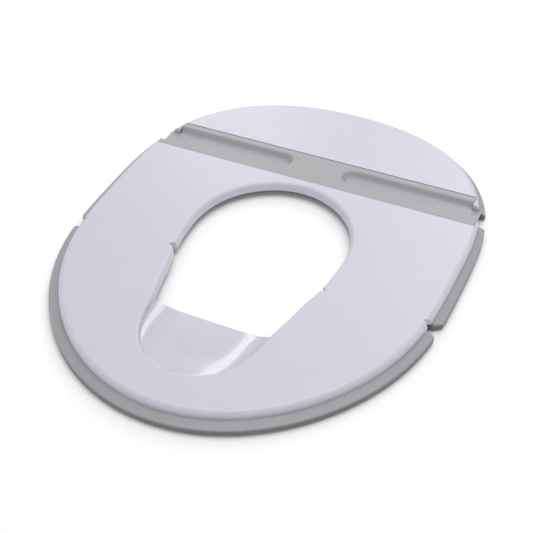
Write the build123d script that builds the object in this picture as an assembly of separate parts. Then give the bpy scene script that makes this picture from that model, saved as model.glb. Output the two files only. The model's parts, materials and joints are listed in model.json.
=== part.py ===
from build123d import *
from math import cos, radians, sin
import os

# Folding training seat that lies on a toilet seat ring.  Millimetres, +Z up, +Y towards the
# child's back, origin at the middle of the footprint on the surface the seat rests on.
# Four rigid bodies: a front panel, a middle panel, a hinged spine and a back panel.

# ---- heights ----
TOP_Z = 14.0                    # sitting surface
PAD_HEIGHT = 1.0                # rubber pads stand this far below the base plates
PLATE = 2.0                     # thickness of every base plate
SKIN = 2.0                      # wall of the white shells
SHELL_EDGE_Z = 8.0              # lower edge of the white shells' outer wall
HOLE_EDGE_Z = 6.3               # lower edge of the wall around the seat opening
TOP_ROUND = 4.2                 # rounding of the sitting surface's outer edge
HOLE_ROUND = 3.0                # rounding of the edge of the seat opening

# ---- plan of the seat and of its opening ----
# Each loop's radius is a sum of cosines of the angle that is measured from the front.
OUTLINE_RADII = [175.7, -8.1, 22.5, 2.8, -2.9, 2.2]
OUTLINE_CENTRE_Y = 0.0
OPENING_RADII = [84.0, -13.2, 29.0, 2.0, 3.7, 1.2, -0.2, -0.2, -0.4, -0.5]
OPENING_CENTRE_Y = -55.0
LOOP_STEPS = 60

# ---- soft grey rim, which flares out past the white outline ----
RIM_FLARE = 6.6                 # at the seat's sides
RIM_FRONT_BIAS = 0.24           # share by which the flare is wider at the front, narrower at the back
RIM_PROFILE = [(1.0, 0.86), (1.8, 1.0), (5.6, 1.0), (6.4, 0.92), (SHELL_EDGE_Z, 0.0)]  # height, share
RIM_INSET = 2.5                 # inner face of the rim, inside the white outline
RIM_END = 5.0                   # the rim stops this far from the front fold
RIM_CORNER = 4.0                # rounding, in plan, of the outer corner of each rim end

# ---- splash scoop, in the front of the opening ----
SCOOP_START_Y = -164.0          # the scoop floor's slope starts under the front rim
LIP_Y = -98.0                   # straight pouring lip of the scoop
LIP_Z = 3.8
SCOOP_RIM_Z = 10.6              # scoop floor at its front rim, just under the rounded edge
SCOOP_SKIN = 1.8

# ---- folds ----
FRONT_FOLD_Y = -41.0
FOLD_GAP = 0.8                  # between the two shells, filled by the thin film hinge
FILM_THICKNESS = 0.7
FILM_DROP = 0.5                 # the film lies this far below the sitting surface
FILM_INNER_X = 67.0             # the film ends where the V notches start
FILM_OUTER_X = 142.6
NOTCH_INNER_X = 56.0            # the notches' open ends, clear of the shells
NOTCH_OUTER_X = 158.0
NOTCH_SPREAD = 0.75             # half width of a notch over its length
SPINE_FRONT_Y = 80.7
SPINE_BACK_Y = 118.7
SPINE_HALF_HEIGHT = 2.9         # the spine's edges are barrels of this radius
SPINE_TOP_Z = 13.8
HINGE_GAP = 0.4                 # between a barrel and the end wall of its panel
SPINE_HALF_WIDTH = 145.8
SPINE_REAR_HALF_WIDTH = 137.6   # narrower where the back panel's ears reach past it
EAR_GAP = 0.4                   # between the spine's ends and the ears that hold the rods
BACK_EAR_RADIUS = 8.8           # the back panel's ears end in a nose round the rear rod
MIDDLE_EAR_TIP_Y = 88.6
PIN_RADIUS = 1.2
PIN_CLEARANCE = 0.05
PIN_Z = SPINE_TOP_Z - SPINE_HALF_HEIGHT
FRONT_PIN_Y = SPINE_FRONT_Y + SPINE_HALF_HEIGHT
REAR_PIN_Y = SPINE_BACK_Y - SPINE_HALF_HEIGHT
FRONT_PIN_HALF = 148.1
REAR_PIN_HALF = 139.9

# ---- finger troughs in the spine ----
TROUGH_FLOOR_Z = 9.3
TROUGH_INNER_X = 23.5           # tip of the round inner end
TROUGH_OPEN_X = 160.0           # past the side of the seat
TROUGH_FRONT_Y = 86.5           # front edge at the seat's side
TROUGH_NOSE_FRONT_Y = 91.5      # front edge at the round end
TROUGH_BACK_Y = 112.5
TROUGH_SLOPE = 4.0              # run of the trough's walls
TROUGH_FLOOR_ROUND = 1.5

# ---- fixings under the seat ----
PLATE_SETBACK = 8.0             # base plates stay this far outside the seat opening
SCREW_RADIUS = 1.5
SCREW_HEAD_RADIUS = 2.8
SCREW_HEAD_HEIGHT = 1.2
SCREW_LENGTH = 9.0
BOSS_RADIUS = 3.6
SCREW_FIT = 0.05                # clearance around the shank
SCREW_TIP_GAP = 0.3
HEAD_GAP = 0.2                  # around the head and shank, in the base plate
SOCKET_SPAN = 3.2               # cross slot in the head
SOCKET_WIDTH = 0.7
SOCKET_DEPTH = 0.8
BOSS_ROOT = 0.5                 # a boss runs this far into the skin above it
PLATE_END_GAP = 3.0             # base plates stop this far from the front fold's gap
FRONT_SCREWS = [(-122, -70), (-92, -130), (0, -181), (92, -130), (122, -70)]
MIDDLE_SCREWS = [(88, -24), (136, -14), (88, 66), (132, 60)]
BACK_SCREWS = [(-104, 130), (-60, 172), (60, 172), (104, 130)]
PAD_LENGTH = 34.0
PAD_WIDTH = 9.0
FRONT_PADS = [(-108, -90, -66), (-74, -146, -45), (74, -146, 45), (108, -90, 66)]
MIDDLE_PADS = [(104, 0, 90), (108, 50, 90)]
BACK_PADS = [(-76, 146, 0), (0, 160, 0), (76, 146, 0)]
RIB_HEIGHT = 5.0
RIB_WIDTH = 1.6
PAD_CHAMFER = 0.3

# Outer corners of the rim's ends: side, depth, and +1 where the end faces the back.
RIM_CORNERS = [(154.4, FRONT_FOLD_Y - RIM_END, 1), (155.6, FRONT_FOLD_Y + RIM_END, -1),
               (155.8, MIDDLE_EAR_TIP_Y, 1), (150.2, REAR_PIN_Y - BACK_EAR_RADIUS, -1)]

FAR = 500.0


def cosine_loop(radii, centre_y, outside, front_bias=0.0):
    """Closed smooth plan, moved outwards along its own normal, further at the front by a bias."""
    points = []
    for i in range(LOOP_STEPS):
        angle = radians(360 * i / LOOP_STEPS)
        radius = sum(size * cos(k * angle) for k, size in enumerate(radii))
        slope = sum(-k * size * sin(k * angle) for k, size in enumerate(radii))
        place = Vector(radius * sin(angle), centre_y - radius * cos(angle))
        along = Vector(slope * sin(angle) + radius * cos(angle), -slope * cos(angle) + radius * sin(angle))
        shift = outside * (1 + front_bias * cos(angle))
        points.append(place + Vector(along.Y, -along.X).normalized() * shift)
    return make_face(Spline(*points, periodic=True))


def outline_face(outside=0.0, front_bias=0.0):
    return cosine_loop(OUTLINE_RADII, OUTLINE_CENTRE_Y, outside, front_bias)


def opening_face(outside=0.0):
    """Plan of the seat opening together with the splash scoop in front of it."""
    return cosine_loop(OPENING_RADII, OPENING_CENTRE_Y, outside)


def slab(y_low, y_high, z_low=-FAR, z_high=FAR, x_low=-FAR, x_high=FAR):
    """Block between two depths, and between two heights or sides where they are given."""
    size = (x_high - x_low, y_high - y_low, z_high - z_low)
    middle = ((x_high + x_low) / 2, (y_high + y_low) / 2, (z_high + z_low) / 2)
    return Pos(*middle) * Box(*size)


def prism(face, z_low, z_high):
    return Pos(0, 0, z_low) * extrude(face, z_high - z_low)


def both_sides(solid):
    return solid + mirror(solid, Plane.YZ)


def tube(radius, centre_y, centre_z, half_length):
    return Pos(0, centre_y, centre_z) * Rot(0, 90, 0) * Cylinder(radius, 2 * half_length)


def fold_notches():
    """Slot of the film hinge with the V notches where it meets the rim and the opening."""
    cutter = slab(FRONT_FOLD_Y - FOLD_GAP / 2, FRONT_FOLD_Y + FOLD_GAP / 2)
    for apex, edge in ((FILM_OUTER_X, NOTCH_OUTER_X), (FILM_INNER_X, NOTCH_INNER_X)):
        spread = NOTCH_SPREAD * abs(edge - apex)
        corners = [(apex, FRONT_FOLD_Y), (edge, FRONT_FOLD_Y - spread), (edge, FRONT_FOLD_Y + spread)]
        notch = prism(make_face(Polyline(*corners, close=True)), 0, TOP_Z + 1)
        cutter += both_sides(notch)
    return cutter


def region(panel):
    """Space that belongs to one panel, in plan, including the back panel's ears."""
    if panel == "front":
        return slab(-FAR, FRONT_FOLD_Y) - fold_notches()
    if panel == "middle":
        main = slab(FRONT_FOLD_Y, SPINE_FRONT_Y - HINGE_GAP)
        ear = slab(0, MIDDLE_EAR_TIP_Y, x_low=SPINE_HALF_WIDTH + EAR_GAP)
        return main + both_sides(ear) - fold_notches()
    flank = slab(REAR_PIN_Y - BACK_EAR_RADIUS, FAR, x_low=SPINE_HALF_WIDTH + EAR_GAP)
    return slab(SPINE_BACK_Y + HINGE_GAP, FAR) + back_ears(0, EAR_GAP) + both_sides(flank)


def back_ears(outside, gap):
    """Space of the ears around the rear rod's ends, past the spine's narrowed rear edge."""
    nose = tube(BACK_EAR_RADIUS + outside, REAR_PIN_Y, PIN_Z, FAR / 2)
    return both_sides(nose & slab(-FAR, FAR, x_low=SPINE_REAR_HALF_WIDTH + gap))


def corner_cut(x, y, facing):
    """Waste outside a round corner at a rim end that faces +Y or -Y."""
    centre_y = y - facing * RIM_CORNER
    waste = slab(min(y, centre_y), max(y, centre_y), x_low=x - RIM_CORNER)
    return both_sides(waste - Pos(x - RIM_CORNER, centre_y, 0) * Cylinder(RIM_CORNER, FAR))


def side_profile(corners):
    """Block of the full width with the given outline in the plane of Y and Z."""
    return extrude(Plane.YZ * make_face(Polyline(*corners, close=True)), FAR / 2, both=True)


def envelope():
    """Outside of all three white shells in one piece, with the scoop, before they are cut apart."""
    ramp = [(SCOOP_START_Y, SCOOP_RIM_Z), (LIP_Y, LIP_Z)]
    outer = prism(outline_face(), SHELL_EDGE_Z, TOP_Z)
    outer = fillet(outer.edges().group_by(Axis.Z)[-1], TOP_ROUND)
    under = [(y, z - SCOOP_SKIN) for y, z in ramp]
    under += [(LIP_Y, HOLE_EDGE_Z), (FAR, HOLE_EDGE_Z), (FAR, 2 * TOP_Z), (SCOOP_START_Y, 2 * TOP_Z)]
    outer += prism(opening_face(SKIN), 0, SHELL_EDGE_Z + 1) & side_profile(under)
    above = ramp + [(LIP_Y, -TOP_Z), (FAR, -TOP_Z), (FAR, 2 * TOP_Z), (SCOOP_START_Y, 2 * TOP_Z)]
    outer -= prism(opening_face(), 0, TOP_Z + 1) & side_profile(above)
    top_edges = outer.edges().group_by(Axis.Z)[-1].sort_by(SortBy.LENGTH)
    return fillet(top_edges[:-1], HOLE_ROUND)


def hollow(y_low, y_high):
    """Space inside a shell: it leaves the skin on top, the outer walls and both end walls."""
    inside = prism(outline_face(-SKIN), 0, TOP_Z - SKIN)
    inside -= prism(opening_face(SKIN), 0, TOP_Z)
    return inside & slab(y_low + SKIN, y_high - SKIN)


def post(radius, height):
    return Cylinder(radius, height, align=(Align.CENTER, Align.CENTER, Align.MIN))


def screw_bosses(places):
    boss = post(BOSS_RADIUS, TOP_Z - PAD_HEIGHT - PLATE - SKIN + BOSS_ROOT)
    return [Pos(x, y, PAD_HEIGHT + PLATE) * boss for x, y in places]


def screw_holes(places):
    hole = post(SCREW_RADIUS + SCREW_FIT, SCREW_LENGTH + SCREW_TIP_GAP)
    return [Pos(x, y, PAD_HEIGHT) * hole for x, y in places]


def shell(whole, name, y_low, y_high, places):
    body = (whole & region(name)) - hollow(y_low, y_high)
    for boss in screw_bosses(places):
        body += boss
    for hole in screw_holes(places):
        body -= hole
    return body


def rim_ring():
    """Whole flared rim before it is cut into lengths."""
    faces = [Pos(0, 0, z) * outline_face(RIM_FLARE * share, RIM_FRONT_BIAS) for z, share in RIM_PROFILE]
    ring = loft(faces, ruled=True)
    ring -= prism(outline_face(-RIM_INSET), 0, TOP_Z)
    for x, y, facing in RIM_CORNERS:
        ring -= corner_cut(x, y, facing)
    return ring


def base_plate(y_low, y_high, places, pads):
    """Flat plate inside the rim, with stiffening ribs, that the screws pull against the shell."""
    low, high = PAD_HEIGHT, PAD_HEIGHT + PLATE
    plate = prism(outline_face(-RIM_INSET), low, high) - prism(opening_face(PLATE_SETBACK), 0, TOP_Z)
    plate &= slab(y_low, y_high)
    for x, y in places:
        plate -= Pos(x, y, low) * post(SCREW_HEAD_RADIUS + HEAD_GAP, SCREW_HEAD_HEIGHT)
        plate -= Pos(x, y, low) * post(SCREW_RADIUS + HEAD_GAP, 2 * PLATE)
    for x, y, turn in pads:
        rib = Pos(x, y, high + RIB_HEIGHT / 2) * Rot(0, 0, turn) * Box(PAD_LENGTH, RIB_WIDTH, RIB_HEIGHT)
        plate += rib
    return plate


def screws(places):
    """Pan-head screws driven up through the base plate into the shell's bosses."""
    head = post(SCREW_HEAD_RADIUS, SCREW_HEAD_HEIGHT)
    shank = post(SCREW_RADIUS, SCREW_LENGTH)
    slot = Box(SOCKET_SPAN, SOCKET_WIDTH, 2 * SOCKET_DEPTH)
    screw = head + shank - slot - Rot(0, 0, 90) * slot
    return Compound(children=[Pos(x, y, PAD_HEIGHT) * screw for x, y in places])


def grip_pads(pads):
    """Rubber strips with round ends, bonded under the base plates."""
    strip = extrude(SlotOverall(PAD_LENGTH, PAD_WIDTH), PAD_HEIGHT)
    strip = chamfer(strip.edges().group_by(Axis.Z)[0], PAD_CHAMFER)
    return Compound(children=[Pos(x, y, 0) * Rot(0, 0, turn) * strip for x, y, turn in pads])


def trough_plan(z, inset):
    """Plan of the finger trough at one height, drawn in from its rim by an inset."""
    front = TROUGH_FRONT_Y + inset
    nose_front = TROUGH_NOSE_FRONT_Y + inset
    back = TROUGH_BACK_Y - inset
    tip = (TROUGH_INNER_X + inset, (nose_front + back) / 2)
    round_x = tip[0] + (back - nose_front) / 2
    edges = [Line((TROUGH_OPEN_X, back), (round_x, back)),
             ThreePointArc((round_x, back), tip, (round_x, nose_front)),
             Line((round_x, nose_front), (TROUGH_OPEN_X, front)),
             Line((TROUGH_OPEN_X, front), (TROUGH_OPEN_X, back))]
    return Pos(0, 0, z) * make_face(edges)


def trough():
    """Finger trough, open at the seat's side, with a round inner end."""
    waste = loft([trough_plan(TROUGH_FLOOR_Z, TROUGH_SLOPE), trough_plan(SPINE_TOP_Z, 0)], ruled=True)
    waste = fillet(waste.edges().group_by(Axis.Z)[0], TROUGH_FLOOR_ROUND)
    return waste + prism(trough_plan(0, 0), SPINE_TOP_Z, SPINE_TOP_Z + 1)


def spine_link():
    """Slotted bar with a barrel along each edge: the book spine between two panels."""
    length = SPINE_BACK_Y - SPINE_FRONT_Y
    section = Pos((SPINE_FRONT_Y + SPINE_BACK_Y) / 2, PIN_Z) * SlotOverall(length, 2 * SPINE_HALF_HEIGHT)
    bar = extrude(Plane.YZ * section, SPINE_HALF_WIDTH, both=True)
    bar -= back_ears(HINGE_GAP, 0)
    bar -= both_sides(trough())
    for y in (FRONT_PIN_Y, REAR_PIN_Y):
        bar -= tube(PIN_RADIUS + PIN_CLEARANCE, y, PIN_Z, FAR / 2)
    return bar


def film_hinge():
    """Thin flexible strip across the gap between the front and middle shells."""
    return slab(FRONT_FOLD_Y - FOLD_GAP / 2, FRONT_FOLD_Y + FOLD_GAP / 2,
                TOP_Z - FILM_DROP - FILM_THICKNESS, TOP_Z - FILM_DROP, FILM_INNER_X, FILM_OUTER_X)


def pin_bores(body):
    body -= tube(PIN_RADIUS, FRONT_PIN_Y, PIN_Z, FRONT_PIN_HALF)
    return body - tube(PIN_RADIUS, REAR_PIN_Y, PIN_Z, REAR_PIN_HALF)


def left(solid):
    return solid & slab(-FAR, FAR, x_high=0)


def right(solid):
    return solid & slab(-FAR, FAR, x_low=0)


def build():
    whole = envelope()
    rim = rim_ring()
    front_end = FRONT_FOLD_Y - FOLD_GAP / 2
    middle_start = FRONT_FOLD_Y + FOLD_GAP / 2
    middle_end = SPINE_FRONT_Y - HINGE_GAP
    back_start = SPINE_BACK_Y + HINGE_GAP
    middle_places = MIDDLE_SCREWS + [(-x, y) for x, y in MIDDLE_SCREWS]
    middle_pads = MIDDLE_PADS + [(-x, y, turn) for x, y, turn in MIDDLE_PADS]

    nodes = {}
    nodes["front_shell"] = shell(whole, "front", -FAR, front_end, FRONT_SCREWS)
    nodes["middle_shell"] = pin_bores(shell(whole, "middle", middle_start, middle_end, middle_places))
    nodes["back_shell"] = pin_bores(shell(whole, "back", back_start, FAR, BACK_SCREWS))

    nodes["front_rim"] = rim & slab(-FAR, FRONT_FOLD_Y - RIM_END)
    middle_rim = rim & region("middle") & slab(FRONT_FOLD_Y + RIM_END, FAR)
    nodes["middle_rim_left"] = left(middle_rim)
    nodes["middle_rim_right"] = right(middle_rim)
    nodes["back_rim"] = rim & region("back")

    nodes["front_base"] = base_plate(-FAR, front_end - PLATE_END_GAP, FRONT_SCREWS, FRONT_PADS)
    plate_start = middle_start + PLATE_END_GAP
    middle_base = base_plate(plate_start, middle_end - SKIN, middle_places, middle_pads)
    nodes["middle_base_left"] = left(middle_base)
    nodes["middle_base_right"] = right(middle_base)
    nodes["back_base"] = base_plate(back_start + SKIN, FAR, BACK_SCREWS, BACK_PADS)

    nodes["spine_link"] = spine_link()
    nodes["spine_front_rod"] = tube(PIN_RADIUS, FRONT_PIN_Y, PIN_Z, FRONT_PIN_HALF)
    nodes["spine_rear_rod"] = tube(PIN_RADIUS, REAR_PIN_Y, PIN_Z, REAR_PIN_HALF)
    nodes["film_hinge_right"] = film_hinge()
    nodes["film_hinge_left"] = mirror(film_hinge(), Plane.YZ)

    nodes["front_screws"] = screws(FRONT_SCREWS)
    nodes["middle_screws"] = screws(middle_places)
    nodes["back_screws"] = screws(BACK_SCREWS)
    nodes["front_grip_pads"] = grip_pads(FRONT_PADS)
    nodes["middle_grip_pads"] = grip_pads(middle_pads)
    nodes["back_grip_pads"] = grip_pads(BACK_PADS)
    return nodes


os.makedirs("parts", exist_ok=True)
for node_name, solid in build().items():
    export_step(solid, "parts/" + node_name + ".step")
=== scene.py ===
import json
import math

import bmesh
import bpy
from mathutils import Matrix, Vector
from mathutils.bvhtree import BVHTree


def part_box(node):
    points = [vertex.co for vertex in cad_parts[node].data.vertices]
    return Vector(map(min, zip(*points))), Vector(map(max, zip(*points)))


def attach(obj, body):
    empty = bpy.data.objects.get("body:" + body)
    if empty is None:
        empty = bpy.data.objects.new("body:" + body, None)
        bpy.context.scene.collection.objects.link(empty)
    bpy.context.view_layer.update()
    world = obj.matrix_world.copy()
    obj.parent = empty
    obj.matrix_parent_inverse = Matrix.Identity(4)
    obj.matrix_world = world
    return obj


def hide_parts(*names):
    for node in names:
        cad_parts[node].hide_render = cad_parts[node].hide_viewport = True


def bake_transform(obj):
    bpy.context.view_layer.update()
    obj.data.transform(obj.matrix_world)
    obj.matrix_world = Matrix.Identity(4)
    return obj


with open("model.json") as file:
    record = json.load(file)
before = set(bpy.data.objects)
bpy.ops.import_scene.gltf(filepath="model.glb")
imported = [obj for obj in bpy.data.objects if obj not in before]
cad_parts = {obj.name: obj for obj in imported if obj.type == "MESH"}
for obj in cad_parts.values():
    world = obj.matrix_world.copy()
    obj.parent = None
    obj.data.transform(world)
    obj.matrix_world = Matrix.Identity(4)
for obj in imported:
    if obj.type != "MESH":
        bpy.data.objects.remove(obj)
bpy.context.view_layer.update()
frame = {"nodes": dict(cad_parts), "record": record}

MM = 0.001
TOP_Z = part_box("front_shell")[1].z

# ---- colours, linear ----
WHITE = (0.56, 0.56, 0.64)
GREY = (0.352, 0.349, 0.368)
RUBBER = (0.045, 0.045, 0.048)
STEEL = (0.56, 0.56, 0.58)
PAPER = (0.96, 0.96, 0.96)
PAPER_LIGHT = (0.97, 0.97, 0.97)

# ---- noise scales, about one feature per metre for each unit ----
PAPER_SCALE = 3.0
DRIFT_SCALE = 9.0
FLOW_SCALE = 14.0
RIM_DRIFT_SCALE = 30.0
GLOSS_SCALE = 60.0

# ---- painted shade low on the rim's outer side fades out between these heights ----
RIM_PAINTED_SHADE_FULL_BELOW = 5.1 * MM
RIM_PAINTED_SHADE_GONE_ABOVE = 5.9 * MM


# ---------------------------------------------------------------- materials
class Nodes:
    """A small helper that adds and links the nodes of one material."""

    def __init__(self, name):
        self.material = bpy.data.materials.new(name)
        self.material.use_nodes = True
        self.tree = self.material.node_tree
        self.shader = self.tree.nodes["Principled BSDF"]
        self.place = self.tree.nodes.new("ShaderNodeTexCoord").outputs["Object"]

    def noise(self, scale, detail=2.0, roughness=0.5):
        node = self.tree.nodes.new("ShaderNodeTexNoise")
        node.inputs["Scale"].default_value = scale
        node.inputs["Detail"].default_value = detail
        node.inputs["Roughness"].default_value = roughness
        self.tree.links.new(self.place, node.inputs["Vector"])
        return node.outputs["Fac"]

    def spread(self, value, low, high, start=0.3, stop=0.7):
        """Maps a value from one range onto another, and holds it within the second."""
        node = self.tree.nodes.new("ShaderNodeMapRange")
        for socket, number in (("From Min", start), ("From Max", stop), ("To Min", low), ("To Max", high)):
            node.inputs[socket].default_value = number
        self.tree.links.new(value, node.inputs["Value"])
        return node.outputs["Result"]

    def blend(self, value, first, second):
        """Mixes two colours, each of them a tuple or another node's output."""
        node = self.tree.nodes.new("ShaderNodeMix")
        node.data_type = "RGBA"
        for socket, colour in (("A", first), ("B", second)):
            if isinstance(colour, tuple):
                node.inputs[socket].default_value = (*colour, 1.0)
            else:
                self.tree.links.new(colour, node.inputs[socket])
        self.tree.links.new(value, node.inputs["Factor"])
        return node.outputs["Result"]

    def drift(self, scale, first, second):
        """Wanders slowly between two colours."""
        return self.blend(self.spread(self.noise(scale), 0, 1), first, second)

    def height(self):
        node = self.tree.nodes.new("ShaderNodeSeparateXYZ")
        self.tree.links.new(self.place, node.inputs["Vector"])
        return node.outputs["Z"]

    def bump(self, value, strength, distance, below=None):
        node = self.tree.nodes.new("ShaderNodeBump")
        node.inputs["Strength"].default_value = strength
        node.inputs["Distance"].default_value = distance
        self.tree.links.new(value, node.inputs["Height"])
        if below is not None:
            self.tree.links.new(below, node.inputs["Normal"])
        return node.outputs["Normal"]

    def set(self, **values):
        for name, value in values.items():
            self.shader.inputs[name.replace("_", " ")].default_value = value

    def link(self, socket, value):
        self.tree.links.new(value, self.shader.inputs[socket])


def shade(colour, factor):
    return tuple(part * factor for part in colour)


def moulded_plastic(name, colour, roughness, grain, grain_height, mottle=0.985):
    """Moulded plastic: slow colour drift, uneven gloss and a fine surface texture."""
    nodes = Nodes(name)
    nodes.link("Base Color", nodes.drift(DRIFT_SCALE, shade(colour, mottle), colour))
    nodes.link("Roughness", nodes.spread(nodes.noise(GLOSS_SCALE, detail=4.0), *roughness))
    flow = nodes.bump(nodes.noise(FLOW_SCALE, detail=1.0), strength=0.25, distance=0.4 * MM)
    texture = nodes.noise(grain, detail=3.0)
    nodes.link("Normal", nodes.bump(texture, strength=0.35, distance=grain_height, below=flow))
    nodes.set(IOR=1.49)
    return nodes


def white_plastic():
    nodes = moulded_plastic("white_plastic", WHITE, roughness=(0.36, 0.44),
                            grain=1400.0, grain_height=0.02 * MM)
    nodes.set(Coat_Weight=0.25, Coat_Roughness=0.38)
    return nodes.material


def polished_white():
    """The same plastic where its mould is polished, in the scoop."""
    nodes = moulded_plastic("polished_white", shade(WHITE, 0.93), roughness=(0.22, 0.30),
                            grain=1400.0, grain_height=0.01 * MM)
    nodes.set(Coat_Weight=0.7, Coat_Roughness=0.06)
    return nodes.material


def grey_plastic():
    return moulded_plastic("grey_plastic", GREY, roughness=(0.38, 0.48),
                           grain=2200.0, grain_height=0.06 * MM, mottle=0.97).material


def soft_rim():
    """Soft-touch rim with painted shade: its grey is much darker low on its outer side than on its sloping
    face.
    """
    nodes = moulded_plastic("soft_rim", GREY, roughness=(0.42, 0.55),
                            grain=2600.0, grain_height=0.08 * MM, mottle=0.96)
    face = nodes.drift(RIM_DRIFT_SCALE, shade(GREY, 0.90), shade(GREY, 0.95))
    # painted shade: the low outer side gets a grey about half as bright, standing in for the shade beneath
    # the rim
    side = nodes.drift(RIM_DRIFT_SCALE, shade(GREY, 0.42), shade(GREY, 0.48))
    # mask for the painted shade: full below the lower height, gone above the upper
    height = nodes.spread(nodes.height(), 0, 1, RIM_PAINTED_SHADE_FULL_BELOW, RIM_PAINTED_SHADE_GONE_ABOVE)
    nodes.link("Base Color", nodes.blend(height, side, face))
    nodes.set(Sheen_Weight=0.06)
    return nodes.material


def base_plastic():
    return moulded_plastic("base_plastic", shade(GREY, 0.8), roughness=(0.45, 0.6),
                           grain=1800.0, grain_height=0.12 * MM, mottle=0.95).material


def pad_rubber():
    return moulded_plastic("pad_rubber", RUBBER, roughness=(0.6, 0.8),
                           grain=2400.0, grain_height=0.12 * MM, mottle=0.8).material


def steel():
    nodes = moulded_plastic("steel", STEEL, roughness=(0.25, 0.4),
                            grain=900.0, grain_height=0.02 * MM, mottle=0.9)
    nodes.set(Metallic=1.0)
    return nodes.material


FINISHES = {
    "white_plastic": white_plastic(),
    "grey_plastic": grey_plastic(),
    "grey_soft_rim": soft_rim(),
    "grey_base_plastic": base_plastic(),
    "pad_rubber": pad_rubber(),
    "steel": steel(),
}


def finish_cad_nodes():
    for part in frame["record"]["subparts"]:
        node = frame["nodes"][part["node"]]
        for slot in node.material_slots:
            slot.material = FINISHES[part["material_slot"]]


# ---------------------------------------------------------------- mesh helpers
MERGE_DISTANCE = 0.001 * MM


def new_piece(name, verts, faces, slot, finish, sharp_angle=35.0):
    """A smooth-shaded mesh object whose edges stay sharp past an angle."""
    mesh = bpy.data.meshes.new(name)
    mesh.from_pydata(verts, [], faces)
    shape = bmesh.new()
    shape.from_mesh(mesh)
    bmesh.ops.remove_doubles(shape, verts=shape.verts, dist=MERGE_DISTANCE)
    bmesh.ops.recalc_face_normals(shape, faces=shape.faces)
    shape.to_mesh(mesh)
    shape.free()
    mesh.shade_smooth()
    mesh.set_sharp_from_angle(angle=math.radians(sharp_angle))
    mesh.materials.append(finish)
    piece = bpy.data.objects.new(name, mesh)
    bpy.context.scene.collection.objects.link(piece)
    return piece


def loft(sections):
    """Closed solid through rings of equal length, with flat end caps."""
    count = len(sections[0])
    verts = [point for ring in sections for point in ring]
    faces = []
    for row in range(len(sections) - 1):
        for i in range(count):
            j = (i + 1) % count
            first, second = row * count, (row + 1) * count
            faces.append((first + i, first + j, second + j, second + i))
    faces.append(tuple(reversed(range(count))))
    faces.append(tuple(range(len(verts) - count, len(verts))))
    return verts, faces


def sheet_solid(top, under, rows, columns):
    """Closed solid between two grids of points."""
    count = len(top)
    step = columns + 1
    faces = []
    for row in range(rows):
        for column in range(columns):
            a = row * step + column
            faces.append((a, a + 1, a + step + 1, a + step))
            faces.append((count + a, count + a + step, count + a + step + 1, count + a + 1))
    border = list(range(columns)) + [row * step + columns for row in range(rows)]
    border += [rows * step + column for column in range(columns, 0, -1)]
    border += [row * step for row in range(rows, 0, -1)]
    for i, a in enumerate(border):
        b = border[(i + 1) % len(border)]
        faces.append((a, count + a, count + b, b))
    return top + under, faces


def stations(start, stop, steps):
    """Evenly spaced values from start to stop."""
    return [start + (stop - start) * i / steps for i in range(steps + 1)]


def smooth_step(value):
    value = min(max(value, 0.0), 1.0)
    return value * value * (3 - 2 * value)


# ---------------------------------------------------------------- grey band
BAND_REAR_HALF = 137.6 * MM     # the band is narrower behind, beside the back panel's ears
BAND_STEP_Y = 106.5 * MM
BAND_CORNER = 0.8 * MM          # rounding of its two top edges
TROUGH_DEPTH = 4.5 * MM
TROUGH_RUN = 4.4 * MM           # width of the trough's sloping walls
TROUGH_SOFT = 0.6 * MM          # its edge is rounded this far outside its rim
TROUGH_TIP_X = 23.5 * MM
TROUGH_SIDE_Y = 86.5 * MM       # front edge at the seat's side
TROUGH_NOSE_Y = 91.5 * MM       # front edge at the inner end
TROUGH_BACK_Y = 112.5 * MM
BAND_STEPS_LONG = 150           # slices along the wide part of the band
BAND_STEPS_END = 6              # slices along each stub at its ends
BAND_STEPS_ACROSS = 100
CORNER_STEPS = 5
BARREL_STEPS = 6


def trough_depth(x, y, half_width):
    """Depth of the finger trough at a place on the band's top."""
    radius = (TROUGH_BACK_Y - TROUGH_NOSE_Y) / 2
    round_x = TROUGH_TIP_X + radius
    share = max(0.0, (abs(x) - round_x) / (half_width - round_x))
    front = TROUGH_NOSE_Y + (TROUGH_SIDE_Y - TROUGH_NOSE_Y) * share
    inside = min(y - front, TROUGH_BACK_Y - y)
    if abs(x) < round_x:
        inside = radius - math.hypot(abs(x) - round_x, y - TROUGH_NOSE_Y - radius)
    return TROUGH_DEPTH * smooth_step((inside + TROUGH_SOFT) / (TROUGH_RUN + TROUGH_SOFT))


def arc(centre_y, centre_z, radius, start, stop, steps):
    """Points (y, z) along an arc between two angles in degrees."""
    angles = [math.radians(angle) for angle in stations(start, stop, steps)]
    return [(centre_y + radius * math.cos(angle), centre_z + radius * math.sin(angle)) for angle in angles]


def band_section(x, rear_limit, low, high):
    """One slice across the band: barrels below, small top corners, the trough in its top."""
    barrel = (high.z - low.z) / 2
    middle_z = low.z + barrel
    corner = BAND_CORNER
    ring = arc(low.y + corner, high.z - corner, corner, 90, 180, CORNER_STEPS)
    ring += arc(low.y + barrel, middle_z, barrel, 180, 270, BARREL_STEPS)
    ring += arc(high.y - barrel, middle_z, barrel, -90, 0, BARREL_STEPS)
    ring += arc(high.y - corner, high.z - corner, corner, 0, 90, CORNER_STEPS)
    top_ys = stations(high.y - corner, low.y + corner, BAND_STEPS_ACROSS)
    ring += [(y, high.z) for y in top_ys[1:-1]]
    section = []
    for y, z in ring:
        y = min(y, rear_limit)
        top = high.z - trough_depth(x, y, high.x)
        section.append((x, y, min(z, top)))
    return section


def grey_band():
    low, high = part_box("spine_link")
    inner = stations(-BAND_REAR_HALF, BAND_REAR_HALF, BAND_STEPS_LONG)
    outer = stations(BAND_REAR_HALF, high.x, BAND_STEPS_END)
    sections = [band_section(-x, BAND_STEP_Y, low, high) for x in reversed(outer)]
    sections += [band_section(x, high.y, low, high) for x in inner]
    sections += [band_section(x, BAND_STEP_Y, low, high) for x in outer]
    band = new_piece("hinged_band", *loft(sections), "grey_plastic", FINISHES["grey_plastic"])
    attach(band, "spine")
    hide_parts("spine_link")


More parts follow.
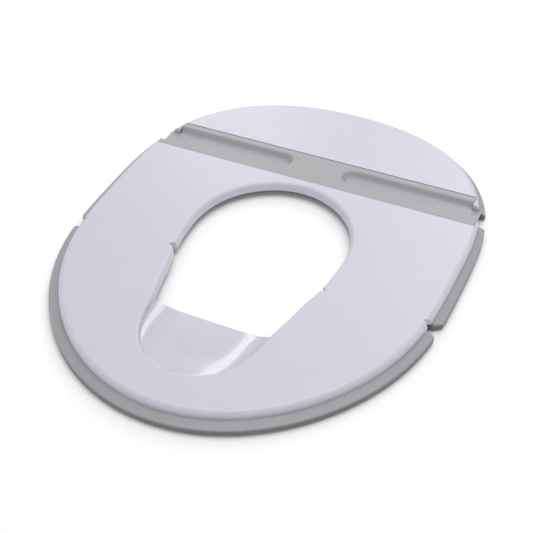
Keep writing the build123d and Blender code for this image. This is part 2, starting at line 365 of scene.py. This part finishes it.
# ---------------------------------------------------------------- film hinges
FILM_STEPS_LONG = 24
FILM_STEPS_ACROSS = 8
FILM_DIP = 0.05 * MM            # depth of the groove along the strip's middle
FILM_BELOW = 0.02 * MM          # the strip lies this far below the panels' tops


def film_hinge(name):
    """Strip across the fold, thinned along its middle."""
    low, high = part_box(name)
    shares = stations(0, 1, FILM_STEPS_ACROSS)
    sections = []
    for x in stations(low.x, high.x, FILM_STEPS_LONG):
        ring = []
        for share in shares:
            hollow = FILM_DIP * math.sin(math.pi * share) ** 2
            ring.append((x, low.y + (high.y - low.y) * share, TOP_Z - FILM_BELOW - hollow))
        for share in reversed(shares):
            ring.append((x, low.y + (high.y - low.y) * share, low.z))
        sections.append(ring)
    strip = new_piece(name + "_strip", *loft(sections), "white_plastic", FINISHES["white_plastic"])
    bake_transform(strip)
    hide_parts(name)


# ---------------------------------------------------------------- splash scoop
SCOOP_LIP_Y = -98.0 * MM
SCOOP_LIP_Z = 3.8 * MM
SCOOP_BACK_Y = -164.0 * MM      # where the sloping floor meets the front panel
SCOOP_BACK_Z = 10.6 * MM
SCOOP_EDGE_Z = 11.0 * MM        # the bowl starts under the rounded edge of the opening
BOWL_REACH = 24.0 * MM          # width of the curved flanks
BOWL_CLEAR = 0.04 * MM          # height over the moulded floor below it
BOWL_UNDER = 0.9 * MM           # depth of its underside below the line of the floor
BOWL_BITE = 0.3 * MM            # the bowl's edge runs this far into the opening's wall
BOWL_NOSE_SHORT = 0.1 * MM      # and its nose stops this far short of it
BOWL_STEPS = 64
RAY_BELOW_EDGE = 0.2 * MM
WALL_AHEAD_STEPS = 11           # points that carry the wall on past the lip, 1 mm apart in Y
WALL_AHEAD_SLOPE = 0.25


def opening_wall():
    """Rays against the front panel find the opening's wall, and so the scoop's plan."""
    panel = frame["nodes"]["front_shell"].data
    tree = BVHTree.FromPolygons([v.co for v in panel.vertices], [p.vertices for p in panel.polygons])
    height = SCOOP_EDGE_Z - RAY_BELOW_EDGE

    def reach(y, way):
        return tree.ray_cast(Vector((0, y, height)), Vector(way))[0]
    return reach


def scoop_floor(y):
    share = (y - SCOOP_BACK_Y) / (SCOOP_LIP_Y - SCOOP_BACK_Y)
    return SCOOP_BACK_Z + (SCOOP_LIP_Z - SCOOP_BACK_Z) * share


def scoop_edge(depths, widths):
    """Points (x, y) of the opening's wall beside the bowl, and its rough course past the lip."""
    ahead = [(widths[0] + WALL_AHEAD_SLOPE * step * MM, SCOOP_LIP_Y + step * MM)
             for step in range(1, WALL_AHEAD_STEPS + 1)]
    return ahead + list(zip(widths, depths))


def bowl_height(x, y, edge):
    """Height of the bowl's top, which follows the floor and curls up near the wall."""
    distance = min(math.hypot(abs(x) - edge_x, y - edge_y) for edge_x, edge_y in edge)
    near = max(0.0, 1 - distance / BOWL_REACH)
    floor_z = scoop_floor(y) + BOWL_CLEAR
    return floor_z + (SCOOP_EDGE_Z - floor_z) * (1 - math.sqrt(1 - near * near))


def scoop_bowl():
    """Smooth scoop floor whose flanks round up into the opening's wall."""
    reach = opening_wall()
    nose_y = reach(SCOOP_LIP_Y, (0, -1, 0)).y + BOWL_NOSE_SHORT
    depths = [SCOOP_LIP_Y + (nose_y - SCOOP_LIP_Y) * math.sin(math.pi / 2 * share)
              for share in stations(0, 1, BOWL_STEPS)]
    widths = [reach(y, (1, 0, 0)).x for y in depths]
    edge = scoop_edge(depths, widths)
    top, under = [], []
    for y, width in zip(depths, widths):
        for share in stations(-1, 1, BOWL_STEPS):
            x = width * math.sin(math.pi / 2 * share)
            side_x = x * (1 + BOWL_BITE / width) if abs(share) == 1 else x
            top.append((side_x, y, bowl_height(x, y, edge)))
            under.append((side_x, y, scoop_floor(y) - BOWL_UNDER))
    verts, faces = sheet_solid(top, under, BOWL_STEPS, BOWL_STEPS)
    bowl = new_piece("scoop_bowl", verts, faces, "white_plastic", polished_white(), sharp_angle=50.0)
    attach(bowl, "front")


# ---------------------------------------------------------------- stage
FLOOR_HALF = 4.0
FLOOR_Z = -0.2 * MM
WORLD_STRENGTH = 0.64
CAMERA_AZIMUTH = 24.67          # degrees from straight ahead, towards +X
CAMERA_ELEVATION = 40.9
CAMERA_DISTANCE = 0.7594
CAMERA_TARGET = (0.0147, -0.0351, TOP_Z)
LENS = 66.64                    # focal length and sensor width in millimetres
SENSOR_WIDTH = 36.0


def floor():
    mesh = bpy.data.meshes.new("floor")
    signs = ((-1, -1), (1, -1), (1, 1), (-1, 1))
    corners = [(x * FLOOR_HALF, y * FLOOR_HALF, FLOOR_Z) for x, y in signs]
    mesh.from_pydata(corners, [], [(0, 1, 2, 3)])
    stage = bpy.data.objects.new("floor", mesh)
    bpy.context.scene.collection.objects.link(stage)
    nodes = Nodes("floor_paper")
    nodes.link("Base Color", nodes.drift(PAPER_SCALE, PAPER, PAPER_LIGHT))
    nodes.set(Roughness=0.9)
    mesh.materials.append(nodes.material)


def soft_light(name, way, distance, size, power):
    """Rectangular softbox that faces the seat from a direction."""
    data = bpy.data.lights.new(name, "AREA")
    data.shape = "RECTANGLE"
    data.size, data.size_y = size
    data.energy = power
    lamp = bpy.data.objects.new(name, data)
    way = Vector(way).normalized()
    lamp.location = way * distance
    lamp.rotation_euler = way.to_track_quat("Z", "Y").to_euler()
    bpy.context.scene.collection.objects.link(lamp)


def studio():
    world = bpy.data.worlds.new("studio")
    world.use_nodes = True
    background = world.node_tree.nodes["Background"]
    background.inputs["Color"].default_value = (1.0, 1.0, 1.0, 1.0)
    background.inputs["Strength"].default_value = WORLD_STRENGTH
    bpy.context.scene.world = world
    bpy.context.scene.view_settings.view_transform = "Standard"
    soft_light("overhead", way=(0.05, 0.1, 1.0), distance=1.6, size=(1.2, 1.2), power=11.5)
    soft_light("rear_window", way=(0.02, 0.82, 0.60), distance=1.4, size=(0.44, 0.42), power=2.2)
    soft_light("left_window", way=(-0.42, 0.80, 0.42), distance=1.4, size=(0.24, 0.42), power=1.3)


def camera():
    """Three-quarter view from the front right and above, at the distance of a product photograph."""
    azimuth = math.radians(CAMERA_AZIMUTH)
    elevation = math.radians(CAMERA_ELEVATION)
    back = Vector((math.sin(azimuth) * math.cos(elevation), -math.cos(azimuth) * math.cos(elevation),
                   math.sin(elevation)))
    data = bpy.data.cameras.new("camera")
    data.sensor_width = SENSOR_WIDTH
    data.lens = LENS
    view = bpy.data.objects.new("camera", data)
    view.location = Vector(CAMERA_TARGET) + back * CAMERA_DISTANCE
    view.rotation_euler = (-back).to_track_quat("-Z", "Y").to_euler()
    bpy.context.scene.collection.objects.link(view)
    bpy.context.scene.camera = view


finish_cad_nodes()
grey_band()
film_hinge("film_hinge_left")
film_hinge("film_hinge_right")
scoop_bowl()
floor()
studio()
camera()
